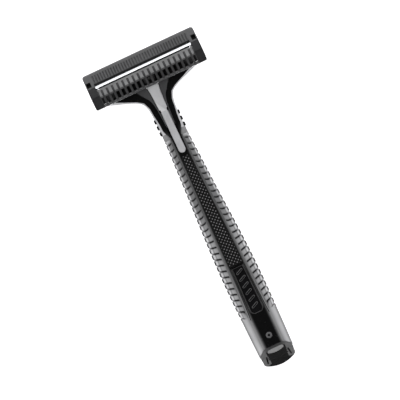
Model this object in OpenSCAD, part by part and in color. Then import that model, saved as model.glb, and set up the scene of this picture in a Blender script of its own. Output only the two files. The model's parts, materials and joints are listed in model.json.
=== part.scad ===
// Cartridge razor lying on its back. +Y runs from the tail to the cartridge, +Z out of the front
// face, and Z = 0 is the flat back. Lengths along the razor are stations measured from the tail.

/* [Handle] */
// Half the width of the handle where it is widest
handle_half_w = 6.7; // [6.3:0.1:7.2]
// Half the width of the flared top of the neck
flare_half_w = 16.4; // [15.4:0.2:17]
// Height of the flat front above the flat back
front_z = 9.6; // [9.4:0.1:10.2]
// Thickness of the soft grips on the sides
grip_t = 1.1; // [0.8:0.05:1.15]
// Wall of the two hard shells
wall_t = 1.2; // [1:0.05:1.3]
// Lean of the tail's face, in mm along the razor for each mm of height
tail_lean = 0.45; // [0.2:0.05:0.6]

/* [Front trim] */
// Thickness of the thumb pad and of the badge plate
trim_t = 0.65; // [0.4:0.05:0.7]
// How far the thumb pad stands proud of the front
pad_proud = 0.12; // [0:0.02:0.2]
// Outside radius of the ring stud near the tail
stud_r = 1.22; // [0.9:0.02:1.4]
// Nubs on each side of the neck
nub_count = 3; // [1:1:3]

/* [Release] */
// How far the slider pushes the cartridge out
release_travel = 4; // [3:0.25:4]
// Side clearance of the slider in its slot
slot_gap = 0.15; // [0.1:0.01:0.2]

/* [Cartridge] */
// Half the width of the cartridge
head_half_w = 20.75; // [20.25:0.25:21.25]
// Lean of the shaving plane away from the front of the handle, in degrees
head_tilt = 30; // [28:0.5:31]
// Number of rinse openings in the guard comb
comb_openings = 19; // [9:2:19]
// Angle of the blade to the shaving plane, in degrees
blade_angle = 25; // [23:0.5:26]
// Radius of the pivot journals
journal_r = 0.9; // [0.7:0.05:1]
// Radial clearance of the journals and of the plunger
running_gap = 0.05; // [0.02:0.01:0.09]

/* [Hidden] */
eps = 0.01;
fine = 32;

// Stations along the handle
tail_s = 3.2;
lean_end_s = 20;
badge_s = [19.4, 36.9];
pad_s = [37.5, 78.6];
grip_end_s = 85.6;
neck_s = 104.9;
stud_s = 11.1;
nub_s = [88.6, 90.85, 93.1];
nub_r = 0.65;
nub_gap = 0.04;

// Handle rows: station, half width, half width of the front flat, front corner radius, back height
HANDLE_ROWS = [
    [0, 6.15, 2.3, 2.2, 0],
    [10, 6.4, 2.3, 2.2, 0],
    [19, 6.55, 2.4, 2.1, 0],
    [29, 6.7, 2.4, 1.75, 0],
    [40, 6.55, 2.3, 1.4, 0],
    [52, 6.05, 2.05, 1.3, 0],
    [64, 5.4, 1.7, 1.2, 0],
    [76, 4.85, 1.45, 1.2, 0],
    [85, 4.45, 1.5, 1.2, 0.8],
    [94, 4.4, 1.9, 1.2, 2.3],
    [98, 4.8, 2.3, 1.2, 2.7],
    [100.4, 5.9, 3, 1.2, 2.8],
    [102.1, 8.7, 4.2, 1.2, 2.9],
    [neck_s, flare_half_w, 6.1, 1.2, 2.9]
];
side_r = 1.5;
back_r = 1.8;
side_height_share = 0.42;
back_in = 2.6;
cavity_r = 0.4;
cavity_shoulder = 0.9;
seam_step = 0.05;

// Angles, measured from +X towards +Z, at which a section's outline is sampled
SIDE_UP = [0, 15, 26, 38, 50];
FRONT_HALF = [50, 60, 70, 80, 89.9];
SIDE_DOWN = [0, -15, -30, -45, -60];
BACK_HALF = [-60, -70, -80, -89.9];
CAVITY_UP = [180, 150, 120, 90.1, 89.9, 60, 30, 0];
ALL_ROUND = [for (a = [0:15:345]) a == 90 || a == 270 ? a - 0.1 : a];

// Cartridge profile, in the plane of its own side view: back along the shaving plane, then up
cap_front = 5.25;
cap_back = 10.6;
cap_drop = 2.4;
block_w = 2.85;
floor_w = -5;
pivot_uw = [2.4, -3.5];
edge_u = 3.43;
blade_w = 6.3;
blade_t = 0.1;
comb_pitch = 1.925;
comb_rib = 0.8;
seam_u = 4.1;
clip_u = [4.75, 6.85];
clip_x = [18.85, 20.45];

// Slider: thickness of its stripe, depth of its slot, and rows of station and half width
slider_t = 1.3;
slot_depth = 2;
slider_tail_s = 79.7;
SLIDER_ROWS = [[95.2, 1.25], [95.4, 1.5], [99.4, 1.65], [102.3, 1.8], [neck_s - 0.05, 2.1]];
flange_s = [90.5, 95];
hook_s = [96.3, 97.9];

// Return spring: the slider's lug pushes it against a fixed bracket with a rod inside
lug_s = [84.2, 85.4];
bracket_s = [93.4, 94.6];
rod_s = lug_s[1] + release_travel + 1;

// Places worked out from the values above
guard_s = neck_s + 3.97;
guard_z = front_z + 3.6;
mid_s = (guard_s + cap_back * cos(head_tilt) - 0.9 * sin(head_tilt)) / 2;
inner_half_w = head_half_w - block_w;
pivot_s = guard_s + pivot_uw.x * cos(head_tilt) + pivot_uw.y * sin(head_tilt);
pivot_z = guard_z - pivot_uw.x * sin(head_tilt) + pivot_uw.y * cos(head_tilt);
plunger_r = 1.2;
plunger_z = front_z - 3.6;
plunger_tip_s = guard_s + 0.01;
tongue_s = 98;
saddle_s = [neck_s + 0.3, neck_s + 2.1];
saddle_z = [plunger_z - 1.6, plunger_z + 1.8];
apron_s = saddle_s[1] + 1.3;
apron_t = 1.2;
arm_x = [12.6, 15];
ear_x = 15.3;
journal_end_x = 17.25;

// Smooth value of one column of the handle rows at a station
function slope(i, col) =
    let (a = max(i - 1, 0), b = min(i + 1, len(HANDLE_ROWS) - 1))
    (HANDLE_ROWS[b][col] - HANDLE_ROWS[a][col]) / (HANDLE_ROWS[b][0] - HANDLE_ROWS[a][0]);
function row_before(s, i = 0) =
    i >= len(HANDLE_ROWS) - 2 || s < HANDLE_ROWS[i + 1][0] ? i : row_before(s, i + 1);
function along(s, col) =
    let (
        i = row_before(s),
        a = HANDLE_ROWS[i],
        b = HANDLE_ROWS[i + 1],
        d = b[0] - a[0],
        t = (s - a[0]) / d,
        rise = t * t * (3 - 2 * t)
    )
    a[col] * (1 - rise) + b[col] * rise
    + d * slope(i, col) * t * (1 - t) * (1 - t)
    - d * slope(i + 1, col) * t * t * (1 - t);

function half_w(s) = along(s, 1) * (s < 96 ? handle_half_w / 6.7 : 1);
function back_z(s) = max(along(s, 4), 0);
function side_z(s) = back_z(s) + side_height_share * (front_z - back_z(s));

// Station and height turned into a length along Y, with the tail's lean faded out
function y_at(s, z) =
    s + z * tail_lean * max(0, min(1, (lean_end_s - s) / (lean_end_s - tail_s)));

// Farthest point, in the direction of angle a, of a section made of three rounded corners a side
function corner_point(corners, a, inset) =
    let (
        reach = [for (c = corners) abs(cos(a)) * c.x + sin(a) * c.y + c.z],
        pick = reach[0] >= max(reach) ? 0 : reach[1] >= max(reach) ? 1 : 2,
        c = corners[pick],
        side = cos(a) < 0 ? -1 : 1
    )
    [side * c.x + (c.z - inset) * cos(a), c.y + (c.z - inset) * sin(a)];

function outer_point(s, a, inset) =
    corner_point([
        [along(s, 2), front_z - along(s, 3), along(s, 3)],
        [half_w(s) - side_r, side_z(s), side_r],
        [half_w(s) - back_in, back_z(s) + back_r, back_r]
    ], a, inset);

// The cavity keeps clear of the grips as far as they reach, then widens
function under_grip(s) = max(0, min(1, (grip_end_s + 3 - s) / 3));
function cavity_point(s, a, inset = 0) =
    let (g = under_grip(s))
    corner_point([
        [along(s, 2) - g * cavity_shoulder, front_z - wall_t - cavity_r, cavity_r],
        [half_w(s) - wall_t - g * grip_t - cavity_r, side_z(s), cavity_r],
        [half_w(s) - back_in - g * cavity_shoulder, back_z(s) + wall_t + cavity_r, cavity_r]
    ], a, inset);

function lift(s, flat) = [for (p = flat) [p.x, y_at(s, p.y), p.y]];
function reversed(v) = [for (i = [len(v) - 1:-1:0]) v[i]];

// A closed solid through rings that all have the same number of points, each running anticlockwise
// as seen from the tail
module skin(rings) {
    n = len(rings[0]);
    m = len(rings);
    points = [for (r = rings) each r];
    sides = [for (j = [0:m - 2]) for (i = [0:n - 1])
        let (
            a = j * n + i,
            b = j * n + (i + 1) % n
        )
        each [[a, b, b + n], [a, b + n, a + n]]];
    first = [for (i = [n - 1:-1:0]) i];
    last = [for (i = [0:n - 1]) (m - 1) * n + i];
    polyhedron(points, concat([first], sides, [last]), convexity = 6);
}

// Stations of the rings: even along the grip, close together where the neck flares
grip_stations = [for (i = [0:19]) tail_s + (grip_end_s - tail_s) * i / 19];
neck_stations = concat([for (s = [87.6, 90, 92.5, 95, 97, 98.5]) s],
    [for (i = [0:8]) 99.5 + (neck_s - 99.5) * i / 8]);
shell_stations = concat(grip_stations, [grip_end_s + eps], neck_stations);
function recess(s) = s <= grip_end_s ? grip_t : seam_step;

module from_tail() {
    translate([0, -mid_s, 0]) children();
}

// Bar along X whose side view is the given outline
module bar(x0, x1, outline) {
    translate([x0, 0, 0]) rotate([90, 0, 90]) linear_extrude(x1 - x0) polygon(outline);
}

module block(low, high) {
    translate(low) cube(high - low);
}

module rod_y(s0, s1, r, z) {
    translate([0, s0, z]) rotate([-90, 0, 0]) cylinder(h = s1 - s0, r = r, $fn = fine);
}

// Coil along Y, swept as a six-sided wire
module coil(s0, s1, z, r, wire_r, turns) {
    per_turn = 12;
    steps = turns * per_turn;
    rise = (s1 - s0 - 2 * wire_r) / steps;
    rings = [for (i = [0:steps])
        let (t = 360 * i / per_turn)
        [for (k = [0:5])
            let (rr = r + wire_r * cos(60 * k))
            [rr * cos(t), s0 + wire_r + rise * i - wire_r * sin(60 * k), z + rr * sin(t)]]];
    skin(rings);
}

// Plan of the slider: a stripe with a round end that widens towards the cartridge
module slider_plan(grow) {
    stripe = SLIDER_ROWS[0][1];
    start_s = slider_tail_s + stripe;
    last = len(SLIDER_ROWS) - 1;
    edge = concat([[stripe + grow, start_s]],
        [for (i = [0:last])
            [SLIDER_ROWS[i][1] + grow, SLIDER_ROWS[i][0] + (i == last ? grow : 0)]]);
    translate([0, start_s]) circle(r = stripe + grow, $fn = fine);
    polygon(concat([for (p = edge) [-p.x, p.y]], reversed(edge)));
}

module pad_plan() {
    round_r = 0.5;
    hull() {
        for (x = [-1, 1]) {
            translate([x * 0.9, pad_s[1] - round_r]) circle(r = round_r, $fn = fine);
            translate([x * 1.75, 48]) circle(r = round_r, $fn = fine);
            translate([x * 1.95, pad_s[0] + round_r]) circle(r = round_r, $fn = fine);
        }
    }
}

// Plan of the badge plate: slightly wider towards the tail, with a rounded lower end
module badge_plan() {
    round_r = 0.6;
    hull() {
        for (x = [-1, 1]) {
            translate([x * 1.55, badge_s[1] - round_r]) circle(r = round_r, $fn = fine);
            translate([x * 2, badge_s[0] + 1.3]) circle(r = round_r, $fn = fine);
        }
        translate([0, badge_s[0] + 1.8]) circle(r = 1.8, $fn = fine);
    }
}

// Nubs of one side of the neck: short pegs whose heads are rounded off
module nub_pegs(side, r, reach) {
    root = 0.7;
    for (i = [0:nub_count - 1]) {
        s = nub_s[i];
        translate([side * (half_w(s) - root), s, side_z(s)]) rotate([0, side * 90, 0]) hull() {
            cylinder(h = root + reach - 0.15, r = r, $fn = fine);
            cylinder(h = root + reach, r = r - 0.15, $fn = fine);
        }
    }
}

module handle_front() {
    mouth_half_w = SLIDER_ROWS[len(SLIDER_ROWS) - 1][1] + slot_gap;
    color([0.06, 0.06, 0.065]) from_tail() difference() {
        skin([for (s = shell_stations) lift(s, concat(
            [for (a = SIDE_UP) outer_point(s, a, recess(s))],
            [for (a = FRONT_HALF) outer_point(s, a, 0)],
            [for (a = reversed(FRONT_HALF)) outer_point(s, 180 - a, 0)],
            [for (a = reversed(SIDE_UP)) outer_point(s, 180 - a, recess(s))],
            [for (a = CAVITY_UP) cavity_point(s, a)]
        ))]);
        translate([0, 0, front_z - slot_depth]) linear_extrude(3) {
            slider_plan(slot_gap);
            translate([-mouth_half_w, neck_s - 1]) square([2 * mouth_half_w, 3]);
        }
        translate([0, 0, front_z - trim_t]) linear_extrude(2) pad_plan();
        translate([0, 0, front_z - trim_t]) linear_extrude(2) badge_plan();
        translate([0, stud_s, front_z - 1.15]) cylinder(h = 4, r = stud_r, $fn = fine);
        for (side = [-1, 1]) nub_pegs(side, nub_r + nub_gap, 1);
    }
}

module handle_back() {
    color([0.06, 0.06, 0.065]) from_tail() difference() {
        skin([for (s = shell_stations) lift(s, concat(
            [for (a = SIDE_DOWN) outer_point(s, 180 - a, recess(s))],
            [for (a = BACK_HALF) outer_point(s, 180 - a, 0)],
            [for (a = reversed(BACK_HALF)) outer_point(s, a, 0)],
            [for (a = reversed(SIDE_DOWN)) outer_point(s, a, recess(s))],
            [for (a = reversed(CAVITY_UP)) cavity_point(s, -a)]
        ))]);
        for (side = [-1, 1]) nub_pegs(side, nub_r + nub_gap, 1);
    }
}

// Grip of one side: a curved strip let into both shells from the tail to the neck
module side_grip(side) {
    slack = 0.1;
    edge = 0.5;
    angles = [-60 + edge, -45, -30, -15, 0, 15, 26, 38, 50 - edge];
    inner_angles = [50 - edge, 26, 0, -30, -60 + edge];
    stations = [for (s = grip_stations) min(s, grip_end_s - slack)];
    color([0.4, 0.4, 0.41]) from_tail() skin([for (s = stations)
        let (
            half = concat(
                [for (a = angles) outer_point(s, a, 0)],
                [for (a = inner_angles) outer_point(s, a, grip_t - slack)]
            ),
            ring = side > 0 ? half : reversed([for (p = half) [-p.x, p.y]])
        )
        lift(s, ring)]);
}

module side_grip_left() {
    side_grip(-1);
}

module side_grip_right() {
    side_grip(1);
}

module thumb_pad() {
    color([0.03, 0.03, 0.03]) from_tail() translate([0, 0, front_z - trim_t])
        linear_extrude(trim_t + pad_proud) pad_plan();
}

module badge_plate() {
    bar_s = [22.5, 25.6, 28.7, 31.8];
    color([0.12, 0.12, 0.13]) from_tail() {
        translate([0, 0, front_z - trim_t]) linear_extrude(trim_t - 0.05) badge_plan();
        for (s = bar_s) {
            translate([0, s, front_z - 0.1]) rotate([0, 0, 25])
                translate([-1.1, -0.35, 0]) cube([2.2, 0.7, 0.2]);
        }
    }
}

module ring_stud() {
    color([0.6, 0.6, 0.62]) from_tail() translate([0, stud_s, 0]) difference() {
        translate([0, 0, front_z - 1.15]) cylinder(h = 1.25, r = stud_r - 0.01, $fn = fine);
        translate([0, 0, front_z - 0.5]) cylinder(h = 1, r = 0.35, $fn = fine);
    }
}

module neck_nubs_right() {
    color([0.03, 0.03, 0.03]) from_tail() nub_pegs(1, nub_r, 0.28);
}

module neck_nubs_left() {
    color([0.03, 0.03, 0.03]) from_tail() nub_pegs(-1, nub_r, 0.28);
}

// Plug of the tail: a spigot inside the cavity and a rounded end outside it
module end_plug() {
    spigot_l = 5;
    slack = 0.15;
    // Rings of the rounded end: station, inset from the handle's outline
    dome = [[-0.75, 1.45], [-0.35, 1.1], [0.2, 0.75], [1.2, 0.4], [tail_s - eps, 0.35]];
    color([0.05, 0.05, 0.05]) from_tail() skin(concat(
        [for (d = dome)
            [for (a = ALL_ROUND) let (p = outer_point(tail_s, a, d[1]))
                [p.x, d[0] + tail_lean * p.y, p.y]]],
        [for (s = [tail_s - eps, tail_s + spigot_l])
            [for (a = ALL_ROUND) let (p = cavity_point(tail_s + spigot_l, a, slack))
                [p.x, s + tail_lean * p.y, p.y]]]
    ));
}

// Fixed seat of the slider's return spring, inside the neck
module spring_bracket() {
    foot_s = [87.5, 96.2];
    foot_top = plunger_z - 1.4;
    color([0.2, 0.2, 0.2]) from_tail() {
        block([-1.9, bracket_s[0], foot_top], [1.9, bracket_s[1], plunger_z + 1.2]);
        block([-1.4, foot_s[0], foot_top - 0.4], [1.4, foot_s[1], foot_top + 0.02]);
        block([-0.9, bracket_s[0], foot_top - 0.8], [0.9, bracket_s[1], foot_top - 0.3]);
        rod_y(rod_s, bracket_s[0] + 0.1, 0.6, plunger_z);
    }
}

module slider_spring() {
    color([0.7, 0.7, 0.72]) from_tail()
        coil(lug_s[1] + 0.05, bracket_s[0] - 0.05, plunger_z, 0.95, 0.14, 8);
}

// Stripe with a guiding flange below it, a lug for the spring and a hook behind the connector
module release_slider() {
    stripe_z = front_z - slider_t;
    low_z = plunger_z - 1.1;
    color([0.55, 0.55, 0.56]) from_tail() {
        translate([0, 0, stripe_z]) linear_extrude(slider_t - 0.08) slider_plan(0);
        block([-1.8, flange_s[0], stripe_z - 0.8], [1.8, flange_s[1], stripe_z + 0.02]);
        block([-1, lug_s[0], low_z], [1, lug_s[1], stripe_z + 0.1]);
        block([-1.2, hook_s[0], low_z], [1.2, hook_s[1], stripe_z + 0.1]);
    }
}

// Tongue in the neck, saddle across it with an apron behind the comb's openings, and two arms that
// carry the cartridge on journals
module connector() {
    arm_r = 1.5;
    saddle_mid = [(saddle_s[0] + saddle_s[1]) / 2, (saddle_z[0] + saddle_z[1]) / 2];
    color([0.1, 0.1, 0.1]) from_tail() difference() {
        union() {
            block([-2.1, tongue_s, plunger_z - 1.5], [2.1, saddle_s[0] + 0.1, plunger_z + 1.5]);
            block([-arm_x[1], saddle_s[0], saddle_z[0]], [arm_x[1], saddle_s[1], saddle_z[1]]);
            for (x = [[-arm_x[1], -plunger_r - 0.6], [plunger_r + 0.6, arm_x[1]]]) {
                block([x[0], saddle_s[1] - 0.1, saddle_z[0]],
                    [x[1], apron_s, saddle_z[0] + apron_t]);
            }
            for (side = [-1, 1]) {
                translate([side < 0 ? -arm_x[1] : arm_x[0], 0, 0]) rotate([90, 0, 90])
                    linear_extrude(arm_x[1] - arm_x[0]) hull() {
                        translate([pivot_s, pivot_z]) circle(r = arm_r, $fn = fine);
                        translate(saddle_mid) circle(r = 0.9, $fn = fine);
                    }
                translate([side * (arm_x[1] - 0.2), pivot_s, pivot_z]) rotate([0, side * 90, 0])
                    cylinder(h = journal_end_x - arm_x[1] + 0.2, r = journal_r, $fn = fine);
            }
        }
        rod_y(tongue_s + 1, saddle_s[1] + 1, plunger_r + running_gap, plunger_z);
    }
}

module plunger_spring() {
    color([0.7, 0.7, 0.72]) from_tail()
        coil(tongue_s + 1.05, tongue_s + 4.35, plunger_z, 0.9, 0.13, 5);
}

module plunger() {
    color([0.8, 0.8, 0.8]) from_tail() {
        rod_y(tongue_s + 4.4, plunger_tip_s, plunger_r, plunger_z);
        translate([0, plunger_tip_s, plunger_z]) sphere(r = plunger_r, $fn = fine);
    }
}

// Places the cartridge: its own Y runs back along the shaving plane, its own Z out of that plane
module on_head() {
    from_tail() translate([0, guard_s, guard_z]) rotate([-head_tilt, 0, 0]) children();
}

// Rounds the cartridge's four corners as seen square to the shaving plane
module within_plan() {
    corner_r = 1;
    front_u = -2;
    intersection() {
        children();
        translate([0, 0, -8]) linear_extrude(10) hull() {
            for (x = [-1, 1]) for (u = [front_u + corner_r, cap_back - corner_r])
                translate([x * (head_half_w - corner_r), u]) circle(r = corner_r, $fn = fine);
        }
    }
}

// Point at a distance along the blade from its edge, and at a depth below its top face
function on_blade(l, depth) = [
    edge_u + l * cos(blade_angle) - depth * sin(blade_angle),
    -l * sin(blade_angle) - depth * cos(blade_angle)
];

module clip_block(side, low_w, high_w) {
    x = side < 0 ? [-clip_x[1], -clip_x[0]] : clip_x;
    block([x[0], clip_u[0], low_w], [x[1], clip_u[1], high_w]);
}

module cartridge_frame() {
    ear_r = 1.9;
    web_w = -4.2;
    color([0.16, 0.16, 0.165]) on_head() difference() {
        union() {
            within_plan() for (x0 = [-head_half_w, inner_half_w]) {
                bar(x0, x0 + block_w, [
                    [-0.1, -0.35], [0.3, 0], [seam_u, 0], [seam_u, -cap_drop],
                    [cap_back, -cap_drop], [cap_back, -4.3], [9.8, floor_w], [-1.3, floor_w - 0.1],
                    [-1.85, -4.8]
                ]);
            }
            bar(-inner_half_w, inner_half_w, [
                [5.6, floor_w], [10.1, floor_w], [10.1, -2.75], [9.3, -2.75], [9.3, web_w],
                [5.6, web_w]
            ]);
            block([-2.5, 1.6, floor_w], [2.5, 5.7, web_w]);
            for (x0 = [-inner_half_w - eps, ear_x]) {
                bar(x0, x0 + inner_half_w - ear_x + eps, [
                    pivot_uw, [1.35, -1.7], [-0.45, -5.05], [pivot_uw.x, pivot_uw.y - ear_r]
                ]);
            }
            for (side = [-1, 1]) {
                translate([side * ear_x, pivot_uw.x, pivot_uw.y]) rotate([0, side * 90, 0])
                    cylinder(h = inner_half_w - ear_x + 0.1, r = ear_r, $fn = fine);
            }
        }
        for (side = [-1, 1]) {
            translate([side * (ear_x - 1), pivot_uw.x, pivot_uw.y]) rotate([0, side * 90, 0])
                cylinder(h = journal_end_x + 0.15 - ear_x + 1, r = journal_r + running_gap, $fn = fine);
            clip_block(side, -4.4, 1);
        }
    }
}

module guard_comb() {
    color([0.2, 0.2, 0.205]) on_head() difference() {
        bar(-inner_half_w, inner_half_w, [
            [-0.15, -0.4], [0.35, 0], [2.75, 0], [2.95, -0.25], [2.95, -1.1], [1, -1.3],
            [-0.85, -4.9], [-1.85, -4.8]
        ]);
        for (i = [0:comb_openings - 1]) {
            x = (i - (comb_openings - 1) / 2) * comb_pitch;
            half = (comb_pitch - comb_rib) / 2;
            block([x - half, -3, -4], [x + half, 0.4, -1]);
        }
    }
}

module blade() {
    color([0.85, 0.87, 0.9]) on_head() bar(-inner_half_w + 0.05, inner_half_w - 0.05, [
        on_blade(0, 0), on_blade(0.35, blade_t), on_blade(blade_w, blade_t), on_blade(blade_w, 0)
    ]);
}

module blade_seat() {
    color([0.12, 0.12, 0.12]) on_head() bar(-inner_half_w + 0.05, inner_half_w - 0.05, [
        on_blade(0.5, blade_t), [3.85, -1.5], [5.7, -4.2], [9.25, -4.2], on_blade(blade_w, blade_t)
    ]);
}

module cap() {
    color([0.2, 0.2, 0.21]) on_head() difference() {
        within_plan() {
            bar(-inner_half_w, inner_half_w, [
                [cap_front, -0.5], on_blade(3, 0), on_blade(blade_w, 0), [9.25, -2.75],
                [cap_back, -2.75], [cap_back, -0.9], [cap_back - 0.8, -0.15],
                [cap_back - 1.6, 0], [cap_front + 0.15, 0], [cap_front, -0.12]
            ]);
            for (x0 = [-head_half_w, inner_half_w - eps]) {
                bar(x0, x0 + block_w + eps, [
                    [seam_u, -cap_drop], [cap_back, -cap_drop], [cap_back, -0.9],
                    [cap_back - 0.8, -0.15], [cap_back - 1.6, 0], [seam_u + 0.15, 0],
                    [seam_u, -0.12]
                ]);
            }
        }
        for (side = [-1, 1]) clip_block(side, -6, 1);
    }
}

module end_clip_left() {
    color([0.05, 0.05, 0.05]) on_head() clip_block(-1, -4.4, -0.3);
}

module end_clip_right() {
    color([0.05, 0.05, 0.05]) on_head() clip_block(1, -4.4, -0.3);
}

handle_front();
handle_back();
side_grip_left();
side_grip_right();
thumb_pad();
badge_plate();
ring_stud();
neck_nubs_left();
neck_nubs_right();
end_plug();
spring_bracket();
slider_spring();
release_slider();
connector();
plunger_spring();
plunger();
cartridge_frame();
guard_comb();
blade();
blade_seat();
cap();
end_clip_left();
end_clip_right();
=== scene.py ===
"""Cartridge razor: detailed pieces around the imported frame. Lengths below are millimetres."""
import json
import math
from math import cos, hypot, pi, radians, sin, sqrt

import bmesh
import bpy
from mathutils import Matrix, Vector


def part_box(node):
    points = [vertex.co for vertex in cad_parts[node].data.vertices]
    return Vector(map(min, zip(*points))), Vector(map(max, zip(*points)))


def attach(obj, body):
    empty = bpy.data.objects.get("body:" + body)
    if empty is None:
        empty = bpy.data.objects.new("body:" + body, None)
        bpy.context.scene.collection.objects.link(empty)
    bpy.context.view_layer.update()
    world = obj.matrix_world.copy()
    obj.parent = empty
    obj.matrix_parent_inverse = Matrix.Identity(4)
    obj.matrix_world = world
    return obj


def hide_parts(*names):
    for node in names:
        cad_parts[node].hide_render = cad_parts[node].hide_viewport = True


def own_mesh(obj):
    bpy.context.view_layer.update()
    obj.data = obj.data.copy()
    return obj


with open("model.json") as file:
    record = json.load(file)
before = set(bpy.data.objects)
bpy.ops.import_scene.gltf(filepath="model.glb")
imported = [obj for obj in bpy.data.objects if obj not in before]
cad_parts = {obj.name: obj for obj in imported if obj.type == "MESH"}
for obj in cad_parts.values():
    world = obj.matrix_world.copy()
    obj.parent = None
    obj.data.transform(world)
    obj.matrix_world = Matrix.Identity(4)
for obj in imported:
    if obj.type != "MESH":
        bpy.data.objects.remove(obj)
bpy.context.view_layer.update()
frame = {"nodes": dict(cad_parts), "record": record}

MM = 0.001

# Handle, as in the solid model: stations run from the tail, heights from the flat back
FRONT_Z = 9.6
GRIP_T = 1.1
WALL_T = 1.2
TAIL_LEAN = 0.45
TAIL_S = 3.2
LEAN_END_S = 20.0
GRIP_END_S = 85.6
NECK_S = 104.9
STUD_S = 11.1
STUD_R = 1.2
NUB_STATIONS = (88.6, 90.85, 93.1)
NUB_R = 0.72
NECK_TIP_S = 87.9
NECK_START_S = (84.5, 90)
TRIM_T = 0.65
BADGE_S = (19.4, 36.9)
BADGE_HALF_W = (2.6, 2.15)
BAR_COUNT = 6
BAR_START_S = 22.4
BAR_PITCH = 2.5
BAR_LEAN = radians(25)
MOULDING_S = (17.6, 36.8)
MOULDING_X = (3.45, 2.42)
PAD_S = (37.5, 78.6)
PAD_ROWS = ((PAD_S[0], 2.45), (48, 2.25), (PAD_S[1], 1.4))
PAD_CORNER_R = 0.5
SLIDER_TAIL_S = 79.7
SLIDER_ROWS = ((95.2, 1.25), (95.4, 1.5), (99.4, 1.65), (102.3, 1.8), (104.85, 2.1))
SLOT_GAP = 0.15
PLUNGER_Z = FRONT_Z - 3.6
SLIDER_SPRING_S = (85.45, 93.35)
PLUNGER_SPRING_S = (99.05, 102.35)

# Grooves of the side grips, counted from the tail; each pitch is a little longer than the last
GROOVE_START_S = 20.2
GROOVE_PITCH = 2.13
GROOVE_GROWTH = 0.0028
GROOVES = 29

# Handle rows: station, half width, half width of the front flat, front corner radius, back height
HANDLE_ROWS = (
    (0, 6.15, 2.3, 2.2, 0),
    (10, 6.4, 2.3, 2.2, 0),
    (19, 6.55, 2.4, 2.1, 0),
    (29, 6.7, 2.4, 1.75, 0),
    (40, 6.55, 2.3, 1.4, 0),
    (52, 6.05, 2.05, 1.3, 0),
    (64, 5.4, 1.7, 1.2, 0),
    (76, 4.85, 1.45, 1.2, 0),
    (85, 4.45, 1.5, 1.2, 0.8),
    (94, 4.4, 1.9, 1.2, 2.3),
    (98, 4.8, 2.3, 1.2, 2.7),
    (100.4, 5.9, 3, 1.2, 2.8),
    (102.1, 8.7, 4.2, 1.2, 2.9),
    (NECK_S, 16.4, 6.1, 1.2, 2.9),
)
# How far out the neck's flat black ledge reaches: station, distance from the middle
LEDGE_ROWS = ((84, 2.6), (88, 3.5), (91, 3.5), (93, 3.7), (95, 4.0), (98, 4.25), (100.4, 5.25),
              (101.7, 7.1), (103.4, 11), (NECK_S, 14.2))
LEDGE_DROP = 0.35
LEDGE_R = 0.45
# Direction in which the section's outline passes from the front shell to the side grip
GRIP_ANGLE = 49.5
SIDE_R = 1.5
BACK_R = 1.8
BACK_IN = 2.6
SIDE_SHARE = 0.42
CAVITY_R = 0.4
CAVITY_SHOULDER = 0.9

# Cartridge, in its own side view: u back along the shaving plane, w out of it
HEAD_TILT = radians(30)
GUARD_S = NECK_S + 3.97
GUARD_Z = FRONT_Z + 3.6
HEAD_HALF_W = 20.75
BLOCK_W = 2.85
INNER_HALF_W = HEAD_HALF_W - BLOCK_W
CAP_FRONT = 5.25
CAP_BACK = 10.6
CAP_DROP = 2.4
SEAM_U = 4.1
EDGE_U = 3.43
# The blade's bed keeps the solid model's angle; the blade seen above it lies flatter
BLADE_ANGLE = radians(25)
BLADE_LEAN = radians(14)
BLADE_W = 6.3
BLADE_T = 0.1
CLIP_U = (4.75, 6.85)
CLIP_X = (18.85, 20.45)
COMB_OPENINGS = 19
COMB_PITCH = 1.925
COMB_RIB = 0.8

# The middle of the length, which is the row frame's Y = 0, read from the frame
MID_S = NECK_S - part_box("handle_front")[1].y / MM


def clamp(t):
    return max(0.0, min(1.0, t))


def smooth(value, low, high):
    t = clamp((value - low) / (high - low))
    return t * t * (3 - 2 * t)


def mix(a, b, t):
    return a + (b - a) * t


def steps(low, high, count):
    return [low + (high - low) * i / count for i in range(count + 1)]


# ---------------- handle sections

def slope(i, col):
    a, b = max(i - 1, 0), min(i + 1, len(HANDLE_ROWS) - 1)
    return (HANDLE_ROWS[b][col] - HANDLE_ROWS[a][col]) / (HANDLE_ROWS[b][0] - HANDLE_ROWS[a][0])


def along(s, col):
    i = 0
    while i < len(HANDLE_ROWS) - 2 and s >= HANDLE_ROWS[i + 1][0]:
        i += 1
    a, b = HANDLE_ROWS[i], HANDLE_ROWS[i + 1]
    d = b[0] - a[0]
    t = (s - a[0]) / d
    rise = t * t * (3 - 2 * t)
    bend = slope(i, col) * t * (1 - t) ** 2 - slope(i + 1, col) * t * t * (1 - t)
    return a[col] * (1 - rise) + b[col] * rise + d * bend


def back_z(s):
    return max(along(s, 4), 0.0)


def side_z(s):
    return back_z(s) + SIDE_SHARE * (FRONT_Z - back_z(s))


def y_at(s, z):
    return s + z * TAIL_LEAN * clamp((LEAN_END_S - s) / (LEAN_END_S - TAIL_S))


def neck_share(s):
    """0 on the grip, 1 on the neck, where the front has a ledge on each side of its panel."""
    return smooth(s, *NECK_START_S)


def between(rows, s):
    """Straight-line value of (station, value) rows."""
    for (s0, v0), (s1, v1) in zip(rows, rows[1:]):
        if s <= s1:
            return mix(v0, v1, clamp((s - s0) / (s1 - s0)))
    return rows[-1][1]


def ledge_w(s):
    """Width of the flat ledge beside the neck's panel."""
    return neck_share(s) * max(0.0, between(LEDGE_ROWS, s) - along(s, 2) - 0.25)


def corner_point(corners, degrees, inset):
    a = radians(degrees)
    reach = [abs(cos(a)) * x + sin(a) * z + r for x, z, r in corners]
    x, z, r = corners[reach.index(max(reach))]
    side = -1 if cos(a) < 0 else 1
    return side * x + (r - inset) * cos(a), z + (r - inset) * sin(a)


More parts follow.
